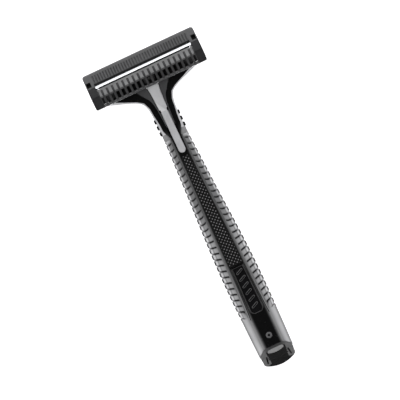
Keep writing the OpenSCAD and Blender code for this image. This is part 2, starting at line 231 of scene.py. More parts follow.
def outer_corners(s):
    r = mix(along(s, 3), LEDGE_R, neck_share(s))
    drop = LEDGE_DROP * neck_share(s)
    return ((along(s, 2) + ledge_w(s), FRONT_Z - drop - r, r),
            (along(s, 1) - SIDE_R, side_z(s), SIDE_R),
            (along(s, 1) - BACK_IN, back_z(s) + BACK_R, BACK_R))


def outer_point(s, degrees, inset=0.0):
    return corner_point(outer_corners(s), degrees, inset)


def flank_angle(s):
    """Direction that the flat flank between the front corner and the side corner faces."""
    (x0, z0, r0), (x1, z1, r1) = outer_corners(s)[:2]
    away = math.degrees(math.acos((r1 - r0) / hypot(x0 - x1, z0 - z1)))
    return math.degrees(math.atan2(z0 - z1, x0 - x1)) - away


def cavity_point(s, degrees, inset=0.0):
    g = clamp((GRIP_END_S + 3 - s) / 3)
    return corner_point((
        (along(s, 2) - g * CAVITY_SHOULDER, FRONT_Z - WALL_T - CAVITY_R, CAVITY_R),
        (along(s, 1) - WALL_T - g * GRIP_T - CAVITY_R, side_z(s), CAVITY_R),
        (along(s, 1) - BACK_IN - g * CAVITY_SHOULDER, back_z(s) + WALL_T + CAVITY_R, CAVITY_R),
    ), degrees, inset)


def lift(s, flat):
    return [(x, y_at(s, z), z) for x, z in flat]


# ---------------- meshes

def skin(rings):
    """Closed solid through rings of equal length: (points, faces)."""
    n, m = len(rings[0]), len(rings)
    points = [p for ring in rings for p in ring]
    faces = [tuple(range(n))[::-1], tuple(range((m - 1) * n, m * n))]
    for j in range(m - 1):
        for i in range(n):
            a, b = j * n + i, j * n + (i + 1) % n
            faces.append((a, b, b + n, a + n))
    return points, faces


def joined(*solids):
    points, faces = [], []
    for more_points, more_faces in solids:
        start = len(points)
        points += more_points
        faces += [tuple(i + start for i in f) for f in more_faces]
    return points, faces


def paint(obj, *names):
    """Gives the piece its materials; the first is number 0 of its faces."""
    for name in names:
        obj.data.materials.append(MATERIALS[name])


def shade(obj, tones):
    """Brightness of each point, for the materials that are made with shaded=True: the piece's own
    tone together with painted light and shade.
    """
    obj.data.attributes.new("shade", "FLOAT", "POINT").data.foreach_set("value", tones)


def prism(outline, z0, z1):
    """Upright prism over a plan outline."""
    return skin([[(x, y, z) for x, y in outline] for z in (z0, z1)])


def cutter(outline, z0, z1):
    """Prism that a boolean takes away from a piece or adds to it."""
    return raw_object("tool", prism(outline, z0, z1))


def arc(cx, cy, r, start, end, count):
    return [(cx + r * cos(radians(a)), cy + r * sin(radians(a)))
            for a in steps(start, end, count)]


def lathe(profile, count, place):
    """Solid of revolution: profile is (radius, height) from one pole to the other."""
    rings = [[place(r * cos(2 * pi * k / count), r * sin(2 * pi * k / count), h)
              for k in range(count)] for r, h in profile]
    return skin(rings)


def link(obj):
    bpy.context.scene.collection.objects.link(obj)


def raw_object(name, solid):
    mesh = bpy.data.meshes.new(name)
    mesh.from_pydata([Vector(p) for p in solid[0]], [], solid[1])
    obj = bpy.data.objects.new(name, mesh)
    link(obj)
    edit(obj, lambda bm: bmesh.ops.recalc_face_normals(bm, faces=bm.faces))
    return obj


def edit(obj, change):
    bm = bmesh.new()
    bm.from_mesh(obj.data)
    change(bm)
    bm.to_mesh(obj.data)
    bm.free()
    obj.data.update()


def combine(obj, operation, *tools):
    """Boolean of obj with the tools, applied to its mesh. The tools are removed."""
    for tool in tools:
        mod = obj.modifiers.new("combine", "BOOLEAN")
        mod.object, mod.operation, mod.solver = tool, operation, "EXACT"
    graph = bpy.context.evaluated_depsgraph_get()
    mesh = bpy.data.meshes.new_from_object(obj.evaluated_get(graph))
    obj.modifiers.clear()
    obj.data = mesh
    for tool in tools:
        bpy.data.objects.remove(tool)


def bevel_edges(obj, width, angle=30):
    """Rounds the edges that turn by more than the angle, after joining flat facets."""
    def change(bm):
        bmesh.ops.remove_doubles(bm, verts=bm.verts, dist=1e-4)
        bmesh.ops.dissolve_limit(bm, angle_limit=radians(1), verts=bm.verts, edges=bm.edges)
        sharp = [e for e in bm.edges
                 if len(e.link_faces) == 2 and e.calc_face_angle(0) > radians(angle)]
        bmesh.ops.bevel(bm, geom=sharp, offset=width, segments=2, profile=0.5,
                        affect="EDGES", clamp_overlap=True)
        bmesh.ops.recalc_face_normals(bm, faces=bm.faces)
    edit(obj, change)
    return obj


def finish(obj, body, slot, *nodes, sharp=35):
    """Brings a piece built in millimetres into the row frame and puts it on its body."""
    obj.data.transform(Matrix.Scale(MM, 4) @ Matrix.Translation((0, -MID_S, 0)))

    def soften(bm):
        for face in bm.faces:
            face.smooth = True
        for e in bm.edges:
            e.smooth = e.calc_face_angle(0) < radians(sharp)
    edit(obj, soften)
    if not obj.data.materials:
        paint(obj, slot)
    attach(obj, body)
    if nodes:
        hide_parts(*nodes)


def from_node(node, name, width):
    """A copy of a plain solid with its edges rounded, in millimetres and stations."""
    mesh = frame["nodes"][node].data.copy()
    obj = bpy.data.objects.new(name, mesh)
    link(obj)
    mesh.materials.clear()
    mesh.transform(Matrix.Translation((0, MID_S, 0)) @ Matrix.Scale(1 / MM, 4))
    return bevel_edges(obj, width)


# ---------------- materials

def dial(node, **values):
    """Sets a node's inputs; a name's underscores stand for spaces."""
    for name, value in values.items():
        node.inputs[name.replace("_", " ")].default_value = value


def material(name, base, rough, grain=0.0, grain_mm=0.25, vary=0.12, metallic=0.0,
             stretch=(1, 1, 1), wear=0.0, specular=0.5, shaded=False):
    """Moulded or metal surface: mottled colour, uneven gloss, fine grain and paler worn edges; with
    shaded=True, each point's painted light and shade multiplies the colour.
    """
    mat = bpy.data.materials.new(name)
    mat.use_nodes = True
    nodes, links = mat.node_tree.nodes, mat.node_tree.links
    shader = nodes["Principled BSDF"]
    dial(shader, Metallic=metallic, Specular_IOR_Level=specular)
    coords = nodes.new("ShaderNodeTexCoord")
    mapping = nodes.new("ShaderNodeMapping")
    dial(mapping, Scale=stretch)
    links.new(coords.outputs["Object"], mapping.inputs["Vector"])

    def noise(size_mm, detail):
        tex = nodes.new("ShaderNodeTexNoise")
        dial(tex, Scale=1000 / size_mm, Detail=detail)
        links.new(mapping.outputs["Vector"], tex.inputs["Vector"])
        return tex

    cloud = noise(6, 4)
    tint = nodes.new("ShaderNodeValToRGB")
    for stop, share in zip(tint.color_ramp.elements, (1 - vary, 1 + vary)):
        stop.color = [min(1, c * share) for c in base] + [1]
    tint.color_ramp.elements[0].position = 0.3
    tint.color_ramp.elements[1].position = 0.7
    links.new(cloud.outputs["Fac"], tint.inputs["Fac"])
    colour = tint.outputs["Color"]
    # Painted light and shade: the point's shade attribute multiplies the colour
    if shaded:
        tone = nodes.new("ShaderNodeAttribute")
        tone.attribute_name = "shade"
        toned = nodes.new("ShaderNodeMix")
        toned.data_type, toned.blend_type = "RGBA", "MULTIPLY"
        dial(toned, Factor=1)
        links.new(colour, toned.inputs["A"])
        links.new(tone.outputs["Color"], toned.inputs["B"])
        colour = toned.outputs["Result"]
    if wear:
        geometry = nodes.new("ShaderNodeNewGeometry")
        edge = nodes.new("ShaderNodeMapRange")
        dial(edge, From_Min=0.52, From_Max=0.62, To_Max=wear)
        links.new(geometry.outputs["Pointiness"], edge.inputs["Value"])
        paler = nodes.new("ShaderNodeMix")
        paler.data_type = "RGBA"
        paler.inputs["B"].default_value = [min(1, c * 2 + 0.06) for c in base] + [1]
        links.new(edge.outputs["Result"], paler.inputs["Factor"])
        links.new(colour, paler.inputs["A"])
        colour = paler.outputs["Result"]
    links.new(colour, shader.inputs["Base Color"])
    smear = noise(1.5, 5)
    gloss = nodes.new("ShaderNodeMapRange")
    dial(gloss, From_Min=0.3, From_Max=0.7, To_Min=max(0.02, rough - 0.06), To_Max=rough + 0.08)
    links.new(smear.outputs["Fac"], gloss.inputs["Value"])
    links.new(gloss.outputs["Result"], shader.inputs["Roughness"])
    if grain:
        fine = noise(grain_mm, 3)
        bump = nodes.new("ShaderNodeBump")
        dial(bump, Strength=grain, Distance=0.00004)
        links.new(fine.outputs["Fac"], bump.inputs["Height"])
        links.new(bump.outputs["Normal"], shader.inputs["Normal"])
    return mat


# The look of each material; one without a base colour has the record's
LOOKS = {
    "black_gloss": dict(rough=0.2, grain=0.15, grain_mm=0.5, specular=0.3),
    # Grip and pad: near-white bases that each point's shade attribute turns into their own grey and
    # black, with painted light and shade
    "smoke_grip": dict(base=[0.9, 0.9, 0.92], rough=0.38, grain=0.25, grain_mm=0.4, vary=0.1,
                       specular=0.14, shaded=True),
    "black_rubber": dict(base=[0.95, 0.95, 0.96], rough=0.5, grain=0.3, grain_mm=0.12, vary=0.04,
                         specular=0.12, shaded=True),
    "grey_slider": dict(rough=0.42, grain=0.5, grain_mm=0.15, wear=0.3),
    "stud_grey": dict(rough=0.35, grain=0.3, grain_mm=0.15),
    "dark_satin": dict(rough=0.4, grain=0.6, grain_mm=0.15, wear=0.2, specular=0.35),
    "inner_black": dict(rough=0.42, grain=0.5, grain_mm=0.2, wear=0.2),
    "inner_white": dict(rough=0.4, grain=0.3),
    "spring_steel": dict(rough=0.25, grain=0.3, grain_mm=0.1, metallic=1.0),
    "blade_steel": dict(rough=0.2, grain=0.4, grain_mm=0.15, metallic=1.0, stretch=(0.04, 1, 1),
                        vary=0.06),
    "clip_black": dict(rough=0.5, grain=0.4, grain_mm=0.2, wear=0.1, specular=0.05),
    # Painted shade: a duller, darker copy of the grip for its grooves and silhouette
    "grip_edge": dict(base=[0.9, 0.9, 0.92], rough=0.6, grain=0.4, grain_mm=0.3, vary=0.1,
                      specular=0.06, shaded=True),
    # Shell black whose points carry painted light round the front corners
    "shell_black": dict(base=[0.95, 0.95, 0.96], rough=0.22, grain=0.15, grain_mm=0.5, vary=0.04,
                        specular=0.2, shaded=True),
    # Painted reflection on the neck's sideways faces, and a dimmer one next to the grips
    "neck_edge": dict(base=[0.42, 0.42, 0.43], rough=0.4, grain=0.25, grain_mm=0.4, specular=0.15),
    "neck_tip": dict(base=[0.15, 0.15, 0.152], rough=0.4, grain=0.25, grain_mm=0.4, specular=0.15),
    "nub_black": dict(base=[0.006, 0.006, 0.006], rough=0.5, grain=0.4, grain_mm=0.2, specular=0.1),
    # Painted light on the guard bar's top
    "comb_cell": dict(base=[0.2, 0.2, 0.202], rough=0.5, grain=0.5, grain_mm=0.15),
    # Painted shade on the comb's fins and in the cap's grooves
    "fin_dark": dict(base=[0.045, 0.045, 0.046], rough=0.5, grain=0.5, grain_mm=0.15, specular=0.2),
    # Painted shade: darker copy of the cap's satin for the cartridge frame
    "block_dark": dict(base=[0.016, 0.016, 0.017], rough=0.45, grain=0.5, grain_mm=0.15, wear=0.1,
                       specular=0.14),
    "plug_black": dict(base=[0.003, 0.003, 0.003], rough=0.4, grain=0.2, grain_mm=0.4,
                       specular=0.02),
    # Painted highlight for the sloping faces of the badge and its mouldings
    "pill_edge": dict(base=[0.07, 0.07, 0.07], rough=0.4, grain=0.3, grain_mm=0.3, specular=0.3),
    # Painted light on the plug's outer rim
    "plug_rim": dict(base=[0.075, 0.075, 0.075], rough=0.35, grain=0.3, grain_mm=0.3,
                     specular=0.15),
    # Painted highlight on the plug's bevel
    "plug_bevel": dict(base=[0.3, 0.3, 0.3], rough=0.4, grain=0.8, grain_mm=0.3,
                       stretch=(1, 0.1, 1), specular=0.4),
}
RECORD_COLOURS = {entry["slot"]: entry["base_color"] for entry in frame["record"]["materials"]}
MATERIALS = {name: material(name, **{"base": RECORD_COLOURS.get(name), **look})
             for name, look in LOOKS.items()}


# ---------------- plans

def slider_plan(grow):
    """Outline of the grey slider, with a round tail."""
    stripe = SLIDER_ROWS[0][1]
    start_s = SLIDER_TAIL_S + stripe
    edge = [(half + grow, s) for s, half in SLIDER_ROWS]
    round_end = arc(0, start_s, stripe + grow, 180, 360, 24)
    return round_end + edge + [(-x, s) for x, s in reversed(edge)]


def pad_half_w(s):
    """Half the width of the dimpled pad, with rounded corners."""
    r, end = PAD_CORNER_R, min(s - PAD_S[0], PAD_S[1] - s)
    cut = r - sqrt(max(0.0, r * r - (r - end) ** 2)) if end < r else 0.0
    return between(PAD_ROWS, s) - cut


def badge_half_w(s):
    """Half the width of the badge plate: wider towards the tail, with a rounded lower end."""
    low_round, high_round = 1.9, 0.5
    low, high = s - BADGE_S[0], BADGE_S[1] - s
    half = mix(*BADGE_HALF_W, low / (BADGE_S[1] - BADGE_S[0]))
    if low < low_round:
        half *= sqrt(max(0.0, 1 - ((low_round - low) / low_round) ** 2))
    if high < high_round:
        half -= high_round - sqrt(max(0.0, high_round ** 2 - (high_round - high) ** 2))
    return half


def plan_of(half_w, span, grow, count=60):
    """Outline of a symmetric plan whose half width is given along its length."""
    ends = [span[0] + (span[1] - span[0]) * (1 - cos(pi * i / count)) / 2
            for i in range(1, count)]
    edge = [(half_w(s) + grow, s) for s in ends]
    edge = [(0.05, span[0] - grow)] + edge + [(0.05, span[1] + grow)]
    return edge + [(-x, s) for x, s in reversed(edge)]


# ---------------- handle pieces

SHELL_STATIONS = (steps(TAIL_S, GRIP_END_S, 150) + [GRIP_END_S + 0.01]
                  + steps(GRIP_END_S + 0.4, 98, 40) + steps(98.15, NECK_S, 46))


def recess(s):
    return GRIP_T if s <= GRIP_END_S else 0.05


def handle_front():
    """Front shell, with openings for the slider, the pad, the badge and the ring."""
    rings = []
    for s in SHELL_STATIONS:
        side = [outer_point(s, a, recess(s)) for a in steps(0, 50, 9)]
        front = [outer_point(s, a) for a in steps(50, 89.9, 14)]
        panel, width, drop = along(s, 2), ledge_w(s), LEDGE_DROP * neck_share(s)
        flat = [(panel + width * t, FRONT_Z - drop) for t in (0.66, 0.33, 0.04)]
        flat += [(panel * t, FRONT_Z) for t in (0.985, 0.9, 0.75, 0.6, 0.45, 0.3, 0.15)]
        half = side + front + flat
        cavity = [cavity_point(s, a) for a in (180, 165, 150, 135, 120, 105, 90.1,
                                               89.9, 75, 60, 45, 30, 15, 0)]
        rings.append(lift(s, half + [(-x, z) for x, z in reversed(half)] + cavity))
    shell = raw_object("front_shell", skin(rings))
    mouth = SLIDER_ROWS[-1][1] + SLOT_GAP
    mouth_plan = [(-mouth, NECK_S - 1), (mouth, NECK_S - 1), (mouth, NECK_S + 2),
                  (-mouth, NECK_S + 2)]
    openings = (
        (slider_plan(SLOT_GAP), 2),
        (mouth_plan, 2),
        (plan_of(pad_half_w, PAD_S, 0.12), TRIM_T),
        (plan_of(badge_half_w, BADGE_S, 0.18), TRIM_T),
        (arc(0, STUD_S, STUD_R + 0.06, 0, 345, 23), 1.15),
    )
    combine(shell, "DIFFERENCE", *[cutter(plan, FRONT_Z - depth, FRONT_Z + 1)
                                   for plan, depth in openings])
    paint(shell, "shell_black", "dark_satin", "neck_edge", "neck_tip")
    # Black on the flat front; painted light, paler round its corners where they face the side lamps,
    # and less so towards the neck
    tones = []
    for v in shell.data.vertices:
        x, s = abs(v.co.x), max(0.0, v.co.y)
        out = clamp((x - along(s, 2)) / max(0.3, outer_point(s, GRIP_ANGLE)[0] - along(s, 2)))
        corner_light = mix(0.26, 0.1, smooth(s, 16, 45)) * (1 - neck_share(s))
        tones.append(BLACK_TONE + (corner_light * out ** 1.6 if v.co.z > FRONT_Z - 2.5 else 0))
    shade(shell, tones)
    for face in shell.data.polygons:
        c = face.center
        on_panel = c.y > NECK_START_S[1] and face.normal.z > 0.9 and c.z > FRONT_Z - 0.1
        if on_panel and abs(c.x) < along(c.y, 2):
            face.material_index = 1
    mark_neck_edge(shell, 2)
    finish(shell, "handle", "black_gloss", "handle_front", sharp=28)


def mark_neck_edge(shell, index):
    """The neck's outer edges get the material at the index, a painted reflection paler than the black
    shell, or the next one, a dimmer painted grey, near the grips.
    """
    for face in shell.data.polygons:
        c, n = face.center, face.normal
        outward = n.x * c.x > 0 and abs(c.x) > along(c.y, 2) + 0.35
        edge = hypot(n.x, min(0.0, n.y)) > 0.3
        if c.y > GRIP_END_S and outward and edge and c.z > back_z(c.y) + 0.5 and n.y < 0.5:
            face.material_index = index + (1 if c.y < NECK_TIP_S else 0)


def handle_back():
    """Back shell, with the flat that the razor lies on."""
    rings = []
    for s in SHELL_STATIONS:
        side = [outer_point(s, a, recess(s)) for a in steps(0, -60, 10)]
        back = [outer_point(s, a) for a in steps(-60, -89.9, 8)]
        half = side + back + [(outer_point(s, -89.9)[0] * t, back_z(s)) for t in (0.7, 0.35)]
        cavity = [cavity_point(s, a) for a in (180, 195, 210, 225, 240, 255, 269.9,
                                               270.1, 285, 300, 315, 330, 345, 360)]
        rings.append(lift(s, half + [(-x, z) for x, z in reversed(half)] + cavity))
    shell = raw_object("back_shell", skin(rings))
    paint(shell, "black_gloss", "neck_edge", "neck_tip")
    mark_neck_edge(shell, 1)
    finish(shell, "handle", "black_gloss", "handle_back", sharp=28)


def groove_depth(s, t):
    """At a station, with t from the front edge (0) to the side (1): how deep the groove is, from
    0 to 1, and how far the nearest groove is, in half pitches. The grooves lean near the tail and
    turn into shallow arcs between stations 42 and 54."""
    t = clamp(t)
    turn = 1.3 * smooth(22.0 - s, 0, 2.0) * (1 - t) if s < 22.0 else 0
    smile = 0.6 * (1 - ((t - 0.55) / 0.45) ** 2)
    at = s + mix(0.75 * (1 - t) ** 1.4, smile, smooth(s, 42, 54)) + turn
    n = math.log(max(1e-6, 1 + GROOVE_GROWTH * (at - GROOVE_START_S) / GROOVE_PITCH)) / GROOVE_GROWTH
    if n < -0.4 or n > GROOVES + 0.4:
        return 0.0, 0.5
    pitch = GROOVE_PITCH * (1 + GROOVE_GROWTH * n)
    away = (n - round(n)) * pitch
    return math.exp(-(away / 0.3) ** 2), abs(away) / (pitch / 2)


BLACK_TONE = 0.006
# Painted light and shade of a rib, of a groove and of the plain tail, from the front edge (0) to the
# side (1): pale bands stand in for the side lamps' reflections, dark ones for shade in the grooves
# and along the silhouette.
# The upper ribs, from RIB_CHANGE_S on, have tones of their own.
RIB_CHANGE_S = (45, 62)
UNDER_TONES = {"rib": 0.13, "groove": 0.04, "plain": 0.16}
RIB_TONES = ((0, 0.08), (0.08, 0.12), (0.2, 0.26), (0.48, 0.36), (0.54, 0.18), (0.6, 0.26),
             (0.68, 0.6), (0.8, 0.62), (0.85, 0.04), (1, 0.03))
TOP_RIB_TONES = ((0, 0.05), (0.12, 0.08), (0.2, 0.13), (0.6, 0.16), (0.68, 0.5), (0.8, 0.5),
                 (0.85, 0.03), (1, 0.02))
GROOVE_TONES = ((0, 0.06), (0.12, 0.04), (0.2, 0.006), (0.62, 0.006), (0.74, 0.06), (0.86, 0.2),
                (0.92, 0.5), (1, 0.7))
PLAIN_TONES = ((0, 0.2), (0.2, 0.28), (0.45, 0.42), (0.7, 0.42), (0.86, 0.16), (1, 0.4))


def side_grip(side, word):
    """Ribbed grip: its outer surface is pushed in at the grooves, with painted shade in them and
    along the silhouette and painted light on a band towards the side.
    """
    slack, rib_h, groove_h, crease_h = 0.08, 0.05, 0.3, 0.1
    inner = [49.2, 38, 26, 12, 0, -15, -30, -45, -59.2]
    rings, dark, shades = [], [], []
    stations = steps(TAIL_S, GRIP_END_S - slack, 520)
    for s in stations:
        edge, widest = outer_point(s, GRIP_ANGLE), outer_point(s, 0)
        corners, turn = outer_corners(s), flank_angle(s)
        flank = [corner_point(corners[:1], a, 0) for a in steps(GRIP_ANGLE, turn, 4)]
        low = [corner_point(corners[1:2], a, 0) for a in steps(turn, 0, 8)]
        span = [(mix(flank[-1][0], low[0][0], t), mix(flank[-1][1], low[0][1], t))
                for t in steps(0, 1, 15)[1:-1]]
        under = [outer_point(s, a) for a in steps(-6, -59.5, 12)]
        ribbed = smooth(s, 18.4, 19.8) * smooth(85.4 - s, 0, 1.2)
        line = flank + span + low + under
        half, marks, tones = [], [], []
        for i, (x, z) in enumerate(line):
            a, b = line[max(i - 1, 0)], line[min(i + 1, len(line) - 1)]
            nx, nz = a[1] - b[1], b[0] - a[0]
            size = hypot(nx, nz)
            nx, nz = nx / size, nz / size
            t = (x - edge[0]) / (widest[0] - edge[0])
            if i >= len(flank + span + low):
                t = 1.0
            groove, apart = groove_depth(s, t)
            below = clamp((z - back_z(s) - 0.8) / 1.2)
            fade = smooth(t, 0.06, 0.22) * below * ribbed
            crease = crease_h * max(0.0, 1 - abs(t - 0.58) / 0.4) * fade
            push = crease + fade * (rib_h * (1 - apart * apart) - groove_h * groove) - 0.02
            half.append((side * (x + nx * push), z + nz * push))
            seen = (x - edge[0]) / (widest[0] - edge[0]) if t < 1 else 1.0
            under_share = clamp((i - len(flank + span + low)) / 4)
            rib = mix(between(RIB_TONES, seen), between(TOP_RIB_TONES, seen),
                      smooth(s, *RIB_CHANGE_S))
            rib = mix(rib, UNDER_TONES["rib"], under_share)
            cut = mix(between(GROOVE_TONES, seen), UNDER_TONES["groove"], under_share)
            plain = mix(between(PLAIN_TONES, seen), UNDER_TONES["plain"], under_share)
            # Painted light and shade: the rib's, the groove's and the plain tail's tones blended at
            # this point
            tones.append(mix(plain, mix(rib, cut, fade * min(1.0, 1.8 * groove)), ribbed))
            marks.append(ribbed > 0.5 and tones[-1] < 0.09)
        half += [(side * x, z) for x, z in
                 (outer_point(s, a, GRIP_T - slack) for a in reversed(inner))]
        marks += [False] * len(inner)
        tones += [UNDER_TONES["rib"]] * len(inner)
        rings.append(lift(s, half))
        dark.append(marks)
        shades += tones
    grip = raw_object("grip_" + word, skin(rings))
    paint(grip, "smoke_grip", "grip_edge")
    shade(grip, shades)
    n = len(rings[0])
    # The darkest painted faces take the duller, darker copy of the grip
    for j in range(len(rings) - 1):
        for i in range(n):
            if dark[j][i] and dark[j + 1][(i + 1) % n]:
                grip.data.polygons[2 + j * n + i].material_index = 1
    finish(grip, "handle", "smoke_grip", "side_grip_" + word, sharp=60)


def thumb_pad():
    """Pad with raised dots in staggered rows; each dot's top carries a painted highlight, paler than
    the pad.
    """
    step_s, columns = 0.075, 66
    dot_r, dot_h, gap_x, row = 0.3, 0.085, 1.44, 0.65
    dot_highlight = 0.3
    base = FRONT_Z - TRIM_T + 0.03
    stations = steps(PAD_S[0], PAD_S[1], round((PAD_S[1] - PAD_S[0]) / step_s))
    rings, tones = [], []
    for s in stations:
        half = pad_half_w(s)
        top = []
        for x in (half * t for t in steps(-1, 1, columns)):
            k, best = round((s - PAD_S[0]) / row), 0.0
            for near in (k - 1, k, k + 1):
                shift = gap_x / 2 * (near % 2)
                cx = round((x - shift) / gap_x) * gap_x + shift
                d = hypot(x - cx, s - PAD_S[0] - near * row)
                best = max(best, max(0.0, 1 - (d / dot_r) ** 2))
            best *= best
            rim = smooth(half - abs(x), 0.05, 0.4) * smooth(min(s - PAD_S[0], PAD_S[1] - s), 0, 0.4)
            z = FRONT_Z - 0.14 + 0.08 * smooth(half - abs(x), 0, 0.15)
            top.append((x, s, z + dot_h * rim * best))
            tones.append(BLACK_TONE + dot_highlight * rim * best)
        rings.append(top + [(half, s, base), (-half, s, base)])
        tones += [BLACK_TONE] * 2
    pad = raw_object("dimpled_pad", skin(rings))
    shade(pad, tones)
    finish(pad, "handle", "black_rubber", "thumb_pad", sharp=60)


def badge_plate():
    """Plate with a raised rim and a row of plain slanted pills."""
    base, rows = FRONT_Z - TRIM_T + 0.03, 110
    sunk, chamfer = 0.22, 0.1
    rings = []
    for half, s in plan_of(badge_half_w, BADGE_S, 0.0, rows)[:rows + 1]:
        half = max(0.05, half)
        row = []
        for x in (half * t for t in steps(-1, 1, 36)):
            inside, end = half - abs(x), min(s - BADGE_S[0], BADGE_S[1] - s)
            field = min(smooth(inside, 0.28, 0.36), smooth(end, 0.3, 0.45))
            z = FRONT_Z - 0.03 - sunk * field
            row.append((x, s, z - chamfer * max(0.0, 1 - inside / chamfer)))
        rings.append(row + [(half, s, base), (-half, s, base)])
    solids = [skin(rings)]
    profile = [(0.06, 0), (0.4, 0.0), (0.42, 0.1), (0.34, 0.2), (0.2, 0.24), (0.05, 0.25)]
    across, up = cos(BAR_LEAN), sin(BAR_LEAN)
    for i in range(BAR_COUNT):
        cy, pill = BAR_START_S + BAR_PITCH * i, []
        for r, h in profile:
            ring = []
            for sign, start in ((1, -90), (-1, 90)):
                for a in steps(start, start + 180, 10):
                    px = sign * 1.0 + r * cos(radians(a))
                    py = r * sin(radians(a))
                    ring.append((px * across - py * up, cy + px * up + py * across,
                                 FRONT_Z - 0.26 + h))
            pill.append(ring)
        solids.append(skin(pill))
    plate = raw_object("badge", joined(*solids))
    paint(plate, "black_gloss", "pill_edge")
    # Painted highlight: the sloping faces of the pills and of the rim's chamfer are painted paler
    for face in plate.data.polygons:
        if 0.2 < face.normal.z < 0.97:
            face.material_index = 1
    finish(plate, "handle", "black_gloss", "badge_plate", sharp=40)


def badge_lines():
    """Thin mouldings that spread from the badge's upper corners towards the tail."""
    solids = []
    for side in (-1, 1):
        rings = []
        for s in steps(*MOULDING_S, 80):
            x = mix(*MOULDING_X, (s - MOULDING_S[0]) / (MOULDING_S[1] - MOULDING_S[0]))
            flat, r = along(s, 2), along(s, 3)
            z = FRONT_Z - r + sqrt(max(0.0, r * r - max(0.0, x - flat) ** 2))
            rings.append([(side * (x + dx), y_at(s, z), z + dz)
                          for dx, dz in ((-0.16, -0.3), (0.16, -0.3), (0.16, -0.03), (0.07, 0.05),
                                         (-0.07, 0.06), (-0.16, -0.01))])
        solids.append(skin(rings))
    lines = raw_object("badge_mouldings", joined(*solids))
    paint(lines, "nub_black", "pill_edge")
    # Painted highlight on each moulding's upward inner slope
    for face in lines.data.polygons:
        if face.normal.z > 0.3 and face.normal.x * face.center.x < -0.01:
            face.material_index = 1
    finish(lines, "handle", "black_gloss", sharp=20)


def ring_stud():
    """Small grey ring round a sunk black middle."""
    profile = [(0.02, -1.1), (STUD_R, -1.1), (STUD_R, -0.15), (STUD_R - 0.14, -0.02)]
    profile += [(0.72 + 0.34 * cos(a), 0.02 + 0.08 * sin(a))
                for a in (0.6, 1.2, 1.9, 2.6)]
    profile += [(0.36, -0.2), (0.3, -0.4), (0.02, -0.42)]
    stud = raw_object("stud", lathe(profile, 40, lambda x, y, h: (x, STUD_S + y, FRONT_Z + h)))
    paint(stud, "stud_grey", "nub_black")
    for face in stud.data.polygons:
        reach = hypot(face.center.x, face.center.y - STUD_S)
        if reach < 0.4 or reach > STUD_R - 0.13:
            face.material_index = 1
    finish(stud, "handle", "stud_grey", "ring_stud", sharp=50)


def neck_nubs(side, word):
    """Three black nubs that wrap round the neck's edge."""
    inwards, outwards, chamfer = 0.55, 0.38, 0.15
    solids = []
    for s in NUB_STATIONS:
        rings = []
        for grow, z in ((-0.14, -0.66), (-0.04, -0.6), (0, -0.45), (0, 1.2), (-0.04, 1.35),
                        (-0.14, 1.42)):
            x0, x1 = along(s, 1) - inwards - grow, along(s, 1) + outwards + grow
            y = NUB_R + grow
            plan = [(x0, -NUB_R), (x1 - chamfer, -y), (x1, chamfer - y), (x1, y - chamfer),
                    (x1 - chamfer, y), (x0, NUB_R)]
            rings.append([(side * x, s + dy, side_z(s) + z) for x, dy in plan])
        solids.append(skin(rings))
    nubs = raw_object("nubs_" + word, joined(*solids))
    paint(nubs, "nub_black")
    finish(nubs, "handle", "black_rubber", "neck_nubs_" + word, sharp=50)


